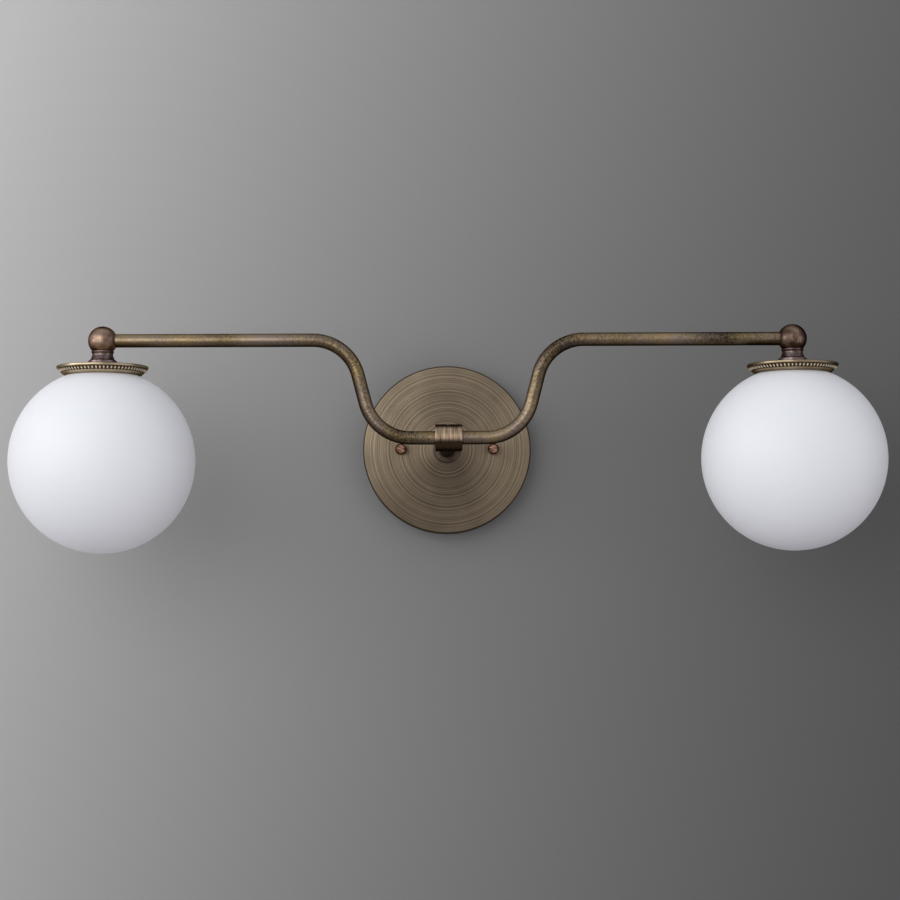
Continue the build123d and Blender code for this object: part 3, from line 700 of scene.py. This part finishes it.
def bent_tube(sizes):
    """Tube from ball to ball: five straight runs and four bends, grown ring by ring from the left end."""
    mesh = bmesh.new()
    layer = mesh.verts.layers.float_vector.new("straight")
    bend, radius = sizes.bend_angle, sizes.bend_radius
    reach = radius * tan(bend / 2)
    upper_corner = sizes.middle_run / 2 + reach + arm_rise / tan(bend)
    end_run = arm_end - upper_corner - reach
    slant_run = arm_rise / sin(bend) - 2 * reach
    place = Vector((-arm_end, arm_y, arm_rise))
    heading = ALONG_ARM.copy()
    along = 0.0
    start = Matrix.Translation(place) @ Matrix.Rotation(radians(90), 4, "Y")
    circle = bmesh.ops.create_circle(mesh, segments=TUBE_SIDES, radius=tube_radius, matrix=start)
    first = ring = list({edge for point in circle["verts"] for edge in point.link_edges})
    mark_ring(ring, layer, along, place, heading)
    runs = (end_run, slant_run, sizes.middle_run, slant_run, end_run)
    turns = (bend, -bend, -bend, bend, 0)
    for run, turn in zip(runs, turns):
        ring = grow_ring(mesh, ring, Matrix.Translation(heading * run))
        place = place + heading * run
        along += run
        mark_ring(ring, layer, along, place, heading)
        if not turn:
            continue
        side = 1 if turn < 0 else -1
        pivot = place + side * radius * Vector((-heading.z, 0, heading.x))
        step = Matrix.Rotation(turn / BEND_STEPS, 4, "Y")
        about = Matrix.Translation(pivot) @ step @ Matrix.Translation(-pivot)
        for _ in range(BEND_STEPS):
            ring = grow_ring(mesh, ring, about)
            place = about @ place
            heading = (step @ heading).normalized()
            along += radius * abs(turn) / BEND_STEPS
            mark_ring(ring, layer, along, place, heading)
    for end in (first, ring):
        bmesh.ops.edgeloop_fill(mesh, edges=end)
    bmesh.ops.recalc_face_normals(mesh, faces=mesh.faces[:])
    return mesh


class LIGHT_OT_arm(bpy.types.Operator):
    """Add the bent arm"""

    bl_idname = "vanity_light.arm"
    bl_label = "Add arm"

    def execute(self, context):
        mesh = bent_tube(context.scene.fixture_sizes)
        material = drawn_tube_brass(context.scene.finish_colours)
        add_piece(mesh, "bent_arm", material, "fixture", "tube_brass", "arm_tube")
        return {"FINISHED"}


class LIGHT_OT_knobs(bpy.types.Operator):
    """Add the two ball knobs on the backplate"""

    bl_idname = "vanity_light.knobs"
    bl_label = "Add knobs"

    def execute(self, context):
        sizes = context.scene.fixture_sizes
        material = lathe_brass(context.scene.finish_colours, "knob")
        for side in SIDES:
            low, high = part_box(f"{side}_knob")
            middle = Vector(((low.x + high.x) / 2, 0, 0))
            radius = (high.x - low.x) / 2
            foot, tip = sizes.knob_foot / 2, sizes.knob_tip / 2
            foot_low = -high.y - sizes.plate_crown / 2
            foot_top = sizes.knob_foot_height - high.y
            ball = foot_top + sqrt(radius**2 - foot**2)
            start = degrees(acos(foot / radius))
            end = degrees(acos(tip / radius))
            outline = [(0, foot_low), (foot, foot_low), (foot, foot_top)]
            outline += arc((0, ball), radius, -start, end, steps=28)
            outline += bowed(outline[-1], (0, ball + radius + sizes.knob_tip_height), tip / 8, steps=5)
            mesh = turned_piece(outline, middle, OFF_WALL, closed=False)
            add_piece(mesh, f"{side}_knob_cap", material, f"{side}_knob", "copper_brass", f"{side}_knob")
        return {"FINISHED"}


class LIGHT_OT_balls(bpy.types.Operator):
    """Add the ball at each end of the arm"""

    bl_idname = "vanity_light.balls"
    bl_label = "Add end balls"

    def execute(self, context):
        for side, sign in SIDES.items():
            material = lathe_brass(context.scene.finish_colours, "ball", side)
            low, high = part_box(f"{side}_ball")
            radius = (high.y - low.y) / 2
            middle = axis_point(f"{side}_neck", arm_rise)
            tube_seat = abs(middle.x) - arm_end
            entry = degrees(acos(tube_radius / radius))
            outline = arc((0, 0), radius, 90, -entry, steps=48)
            outline += [(tube_radius, -tube_seat), (0, -tube_seat)]
            mesh = turned_piece(outline, middle, sign * ALONG_ARM, closed=False)
            add_piece(mesh, f"{side}_end_ball", material, "fixture", "ball_brass", f"{side}_ball")
        return {"FINISHED"}


class LIGHT_OT_necks(bpy.types.Operator):
    """Add the turned neck under each ball"""

    bl_idname = "vanity_light.necks"
    bl_label = "Add necks"

    # How far the foot and collar swell, the flare hollows, and the foot's top steps in
    foot_swell, collar_swell, flare_hollow, foot_step = 0.0002, 0.0001, 0.0002, 0.0003

    def execute(self, context):
        sizes = context.scene.lamp_sizes
        material = lathe_brass(context.scene.finish_colours, "neck")
        for side in SIDES:
            low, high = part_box(f"{side}_neck")
            foot, hole = (high.x - low.x) / 2, sizes.pipe_hole / 2
            collar, waist, ring = sizes.collar / 2, sizes.waist / 2, sizes.thin_ring / 2
            top = high.z - low.z
            waist_top = top - sizes.collar_height
            ring_top = waist_top - sizes.waist_height
            ring_end = ring_top - sizes.thin_ring_height
            ring_edge = ring - sizes.thin_ring_height / 4
            waist_bow = waist - (ring_edge + collar) / 2
            flare_foot = (foot - self.foot_step, sizes.foot_height)
            outline = [(hole, 0), (foot, 0)]
            outline += bowed((foot, 0), (foot, sizes.foot_height), self.foot_swell, steps=6)
            outline += bowed(flare_foot, (ring_edge, ring_end), -self.flare_hollow, steps=10)
            outline += bowed((ring_edge, ring_end), (ring_edge, ring_top), ring - ring_edge, steps=8)
            outline += bowed((ring_edge, ring_top), (collar, waist_top), waist_bow, steps=12)
            outline += bowed((collar, waist_top), (collar, top), self.collar_swell, steps=6)
            outline += [(hole, top)]
            mesh = turned_piece(outline, axis_point(f"{side}_neck", low.z), UPWARDS)
            add_piece(mesh, f"{side}_turned_neck", material, "fixture", "ball_brass", f"{side}_neck")
        return {"FINISHED"}


def holder_flare(side, sizes):
    """Middle of a holder's top, rim radius, and the flare's two ends as (radius, height) below that top."""
    low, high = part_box(f"{side}_holder")
    rim = (high.x - low.x) / 2
    top = (rim - sizes.rim_bevel - sizes.rim_step, -sizes.rim_height)
    end = (sizes.mouth / 2 + sizes.lip_taper - sizes.band_recess, low.z - high.z + sizes.lip_height)
    return axis_point(f"{side}_holder", high.z), rim, top, end


class LIGHT_OT_holders(bpy.types.Operator):
    """Add the two spun shade holders"""

    bl_idname = "vanity_light.holders"
    bl_label = "Add shade holders"

    def execute(self, context):
        sizes = context.scene.lamp_sizes
        edge, bevel, sheet = sizes.rim_edge, sizes.rim_bevel, sizes.sheet
        mouth, hole = sizes.mouth / 2, sizes.pipe_hole / 2
        for side in SIDES:
            material = lathe_brass(context.scene.finish_colours, "holder", side)
            middle, rim, top, end = holder_flare(side, sizes)
            lip_end = end[1] - sizes.lip_height
            outline = [(hole, -sheet), (hole, 0)]
            outline += arc((rim - edge, -edge), edge, 90, 0, steps=6)
            outline += [(rim, bevel - sizes.rim_height), (rim - bevel, -sizes.rim_height), top, end]
            outline += bowed((mouth + sizes.lip_taper, end[1]), (mouth, lip_end), edge / 4, steps=6)
            outline += [(mouth - sheet, lip_end), (end[0] - sheet, end[1]), (top[0] - sheet, -sheet)]
            mesh = turned_piece(outline, middle, UPWARDS)
            add_piece(mesh, f"{side}_shade_holder", material, "fixture", "holder_brass", f"{side}_holder")
        return {"FINISHED"}


def add_bead(mesh, layer, middle, out, slope, half_width, half_length, height):
    """Adds one long bead that is half sunk in the band, with its crown marked as proud."""
    axes = Matrix((slope.cross(out), slope, out)).transposed().to_4x4()
    size = Matrix.Diagonal((half_width, half_length, height, 1))
    place = Matrix.Translation(middle) @ axes @ size
    points = bmesh.ops.create_uvsphere(
        mesh, u_segments=BEAD_SIDES, v_segments=BEAD_RINGS, radius=1, matrix=place
    )["verts"]
    for point in points:
        point[layer] = max(0, (point.co - middle).dot(out) / height)


class LIGHT_OT_bead_bands(bpy.types.Operator):
    """Add the row of beads round each holder"""

    bl_idname = "vanity_light.bead_bands"
    bl_label = "Add bead rows"

    def execute(self, context):
        sizes = context.scene.lamp_sizes
        material = beaded_brass(context.scene.finish_colours)
        for side in SIDES:
            middle, _, top, end = holder_flare(side, sizes)
            slope = Vector(top) - Vector(end)
            run = slope.normalized()
            out = Vector((run.y, -run.x))
            mesh = bmesh.new()
            proud = mesh.verts.layers.float.new("proud")
            skin = out * sizes.band_sheet
            inset = run * sizes.band_sheet
            upper, lower = Vector(top) - inset, Vector(end) + inset
            strip = [tuple(point) for point in (upper, upper + skin, lower + skin, lower)]
            spin_outline(mesh, strip, middle, UPWARDS, TURNED_STEPS)
            seat = (Vector(top) + Vector(end)) / 2 + skin + run * sizes.bead_lift
            half_width = pi * seat.x / sizes.bead_count * sizes.bead_share
            half_length = sizes.bead_reach * slope.length / 2
            for bead in range(sizes.bead_count):
                turn = Matrix.Rotation(2 * pi * bead / sizes.bead_count, 3, "Z")
                place = middle + turn @ Vector((seat.x, 0, seat.y))
                bead_out = turn @ Vector((out.x, 0, out.y))
                bead_up = turn @ Vector((run.x, 0, run.y))
                add_bead(mesh, proud, place, bead_out, bead_up, half_width, half_length, sizes.bead_height)
            add_piece(mesh, f"{side}_bead_row", material, "fixture", "holder_brass", f"{side}_bead_band")
        return {"FINISHED"}


class LIGHT_OT_globes(bpy.types.Operator):
    """Add the two opal globes"""

    bl_idname = "vanity_light.globes"
    bl_label = "Add globes"

    # Width of the bevels on the end of the globe's neck
    neck_bevel = 0.0004

    def execute(self, context):
        sizes = context.scene.lamp_sizes
        material = etched_opal_glass(context.scene.finish_colours)
        neck, wall, fillet = sizes.globe_neck / 2, sizes.globe_wall, sizes.globe_neck_fillet
        bore, bevel = neck - wall, self.neck_bevel
        for side in SIDES:
            low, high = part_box(f"{side}_globe")
            radius = (high.x - low.x) / 2
            middle = axis_point(f"{side}_globe", low.z + radius)
            top = high.z - middle.z
            inside = radius - wall
            fillet_middle = neck + fillet
            fillet_height = sqrt((radius + fillet) ** 2 - fillet_middle**2)
            meet = degrees(acos(fillet_middle / (radius + fillet)))
            outline = arc((0, 0), radius, -90, meet, steps=72)
            outline += arc((fillet_middle, fillet_height), fillet, 180 + meet, 180, steps=6)[1:]
            outline += [(neck, top - bevel), (neck - bevel, top), (bore + bevel, top), (bore, top - bevel)]
            outline += arc((0, 0), inside, degrees(acos(bore / inside)), -90, steps=56)
            mesh = turned_piece(outline, middle, UPWARDS, closed=False)
            add_piece(mesh, f"{side}_glass_globe", material, f"{side}_globe", "opal_glass", f"{side}_globe")
        return {"FINISHED"}


class LIGHT_OT_inner_finishes(bpy.types.Operator):
    """Give the pieces that keep their own shape their finishes"""

    bl_idname = "vanity_light.inner_finishes"
    bl_label = "Finish inner pieces"

    def execute(self, context):
        for part in frame["record"]["subparts"]:
            node = frame["nodes"][part["node"]]
            if not node.hide_render:
                node.data.materials.clear()
                node.data.materials.append(plain_finish(part["material_slot"]))
        return {"FINISHED"}


def wall_paint(settings):
    """Matt grey wall paint with a faint roller stipple, and painted light that makes it lighter to the upper
    left; clear from behind.
    """
    material, node, place = new_material("matt_wall_paint")
    stipple, most_painted_light = 0.003, 0.8
    # Painted light: the grey is scaled lighter towards the upper left and darker towards the lower right
    slope = node("VectorMath", {0: place, 1: settings.wall_painted_light}, operation="DOT_PRODUCT")
    ends = {"From Min": -most_painted_light, "From Max": most_painted_light, "To Min": -most_painted_light, "To Max": most_painted_light}
    held = node("MapRange", {"Value": slope, **ends})
    fade = node("Math", {0: held}, operation="EXPONENT")
    paint = node("VectorMath", {0: settings.wall[:3], "Scale": fade}, operation="SCALE")
    grain = node("TexNoise", {"Vector": place, "Scale": 1 / stipple, "Detail": 3.0})
    bump = node("Bump", {"Height": grain, "Strength": 0.1, "Distance": stipple / 20})
    matt = node("BsdfDiffuse", {"Color": paint, "Normal": bump})
    back = node("NewGeometry").outputs["Backfacing"]
    both = node("MixShader", {0: back, 1: matt, 2: node("BsdfTransparent")})
    node("OutputMaterial", {"Surface": both})
    return material


def floor_paint(settings):
    """Pale painted floor, matt, with a faint unevenness."""
    material, node, place = new_material("matt_floor_paint")
    cloud = 0.2
    clouds = node("TexNoise", {"Vector": place, "Scale": 1 / cloud, "Detail": 3.0})
    paint = node("Mix", {0: clouds, 6: settings.floor_dim, 7: settings.floor}, data_type="RGBA")
    add_surface(node, {"Base Color": paint, "Roughness": 0.8})
    return material


def add_softbox(name, watts, width, place, target):
    """Adds a square area light that points at a target."""
    data = bpy.data.lights.new(name, "AREA")
    data.energy = watts
    data.size = width
    softbox = bpy.data.objects.new(name, data)
    softbox.location = place
    softbox.rotation_euler = (target - place).to_track_quat("-Z", "Y").to_euler()
    bpy.context.scene.collection.objects.link(softbox)


class LIGHT_OT_stage(bpy.types.Operator):
    """Add the wall, floor, lights, world and camera"""

    bl_idname = "vanity_light.stage"
    bl_label = "Add stage"

    # The wall lies this far behind the backplate's rim, and it is open behind the backplate's hollow
    wall_gap = 0.00005

    # Softboxes by name: width and place in metres
    softboxes = {
        "key": (1.2, Vector((-2.0, -0.9, 0.5))),
        "front": (1.6, Vector((-0.95, -2.1, 0.4))),
        "fill": (3.4, Vector((3.2, -2.0, -0.8))),
    }

    # Camera as it stood for the photograph: below the light's middle, looking slightly up
    camera_place = Vector((-0.0168, -1.6429, -0.115))
    camera_yaw, camera_pitch, camera_roll = radians(-0.673), radians(4.036), radians(0.282)

    def execute(self, context):
        settings = context.scene.stage_settings
        context.scene.view_settings.view_transform = "Standard"
        wall = bmesh.new()
        hole = plate_high.x - context.scene.fixture_sizes.plate_sheet
        outline = [(hole, -self.wall_gap), (settings.wall_radius, -self.wall_gap)]
        spin_outline(wall, outline, PLATE_MIDDLE, OFF_WALL, TURNED_STEPS, closed=False)
        for face in wall.faces:
            face.normal_update()
            if face.normal.dot(OFF_WALL) < 0:
                face.normal_flip()
        floor = bmesh.new()
        floor_place = Matrix.Translation((0, -settings.floor_half, -settings.floor_drop))
        bmesh.ops.create_grid(floor, x_segments=1, y_segments=1, size=settings.floor_half, matrix=floor_place)
        add_object(wall, "stage_wall", wall_paint(settings))
        add_object(floor, "stage_floor", floor_paint(settings))
        target = Vector((0, arm_y, 0))
        for name, (width, place) in self.softboxes.items():
            add_softbox(f"{name}_light", getattr(settings, f"{name}_power"), width, place, target)
        self.add_world(context, settings)
        self.add_camera(context, settings)
        return {"FINISHED"}

    def add_world(self, context, settings):
        """Soft pale light from all round, stronger from the upper left."""
        world = bpy.data.worlds.new("studio_air")
        world.use_nodes = True
        world.node_tree.nodes.clear()
        node = partial(add_node, world.node_tree)
        direction = node("TexCoord").outputs["Generated"]
        rise = node("VectorMath", {0: direction, 1: settings.air_rise}, operation="DOT_PRODUCT")
        ends = {"From Min": -0.35, "From Max": 0.5}
        level = node("MapRange", {"Value": rise, **ends}, interpolation_type="SMOOTHSTEP")
        air = node("Mix", {0: level, 6: settings.air_low, 7: settings.air_high}, data_type="RGBA")
        node("OutputWorld", {"Surface": node("Background", {"Color": air})})
        context.scene.world = world

    def add_camera(self, context, settings):
        """Camera at the photograph's angle, with the usual 36 mm sensor."""
        data = bpy.data.cameras.new("camera")
        data.lens = settings.lens
        camera = bpy.data.objects.new("camera", data)
        turn = Matrix.Rotation(self.camera_yaw, 4, "Z") @ Matrix.Rotation(self.camera_pitch, 4, "X")
        turn = turn @ Matrix.Rotation(self.camera_roll, 4, "Y") @ Matrix.Rotation(radians(90), 4, "X")
        camera.matrix_world = Matrix.Translation(self.camera_place) @ turn
        context.scene.collection.objects.link(camera)
        context.scene.camera = camera


OPERATORS = (
    LIGHT_OT_backplate,
    LIGHT_OT_stem,
    LIGHT_OT_tee,
    LIGHT_OT_arm,
    LIGHT_OT_knobs,
    LIGHT_OT_balls,
    LIGHT_OT_necks,
    LIGHT_OT_holders,
    LIGHT_OT_bead_bands,
    LIGHT_OT_globes,
    LIGHT_OT_inner_finishes,
    LIGHT_OT_stage,
)
SETTINGS = {
    "fixture_sizes": FixtureSizes,
    "lamp_sizes": LampSizes,
    "finish_colours": FinishColours,
    "stage_settings": StageSettings,
}


class LIGHT_PT_pieces(bpy.types.Panel):
    """Lists the vanity light's pieces, sizes and colours"""

    bl_idname = "LIGHT_PT_pieces"
    bl_label = "Vanity Light"
    bl_space_type = "VIEW_3D"
    bl_region_type = "UI"
    bl_category = "Vanity Light"

    def draw(self, context):
        for operator in OPERATORS:
            self.layout.operator(operator.bl_idname)
        for group, kind in SETTINGS.items():
            box = self.layout.box()
            for name in kind.__annotations__:
                box.prop(getattr(context.scene, group), name)


CLASSES = (*SETTINGS.values(), *OPERATORS, LIGHT_PT_pieces)


def register():
    for each in CLASSES:
        bpy.utils.register_class(each)
    for group, kind in SETTINGS.items():
        setattr(bpy.types.Scene, group, PointerProperty(type=kind))


def unregister():
    for group in SETTINGS:
        delattr(bpy.types.Scene, group)
    for each in reversed(CLASSES):
        bpy.utils.unregister_class(each)


def main():
    register()
    bpy.ops.vanity_light.backplate()
    bpy.ops.vanity_light.stem()
    bpy.ops.vanity_light.tee()
    bpy.ops.vanity_light.arm()
    bpy.ops.vanity_light.knobs()
    bpy.ops.vanity_light.balls()
    bpy.ops.vanity_light.necks()
    bpy.ops.vanity_light.holders()
    bpy.ops.vanity_light.bead_bands()
    bpy.ops.vanity_light.globes()
    bpy.ops.vanity_light.inner_finishes()
    bpy.ops.vanity_light.stage()


if __name__ == "__main__":
    main()
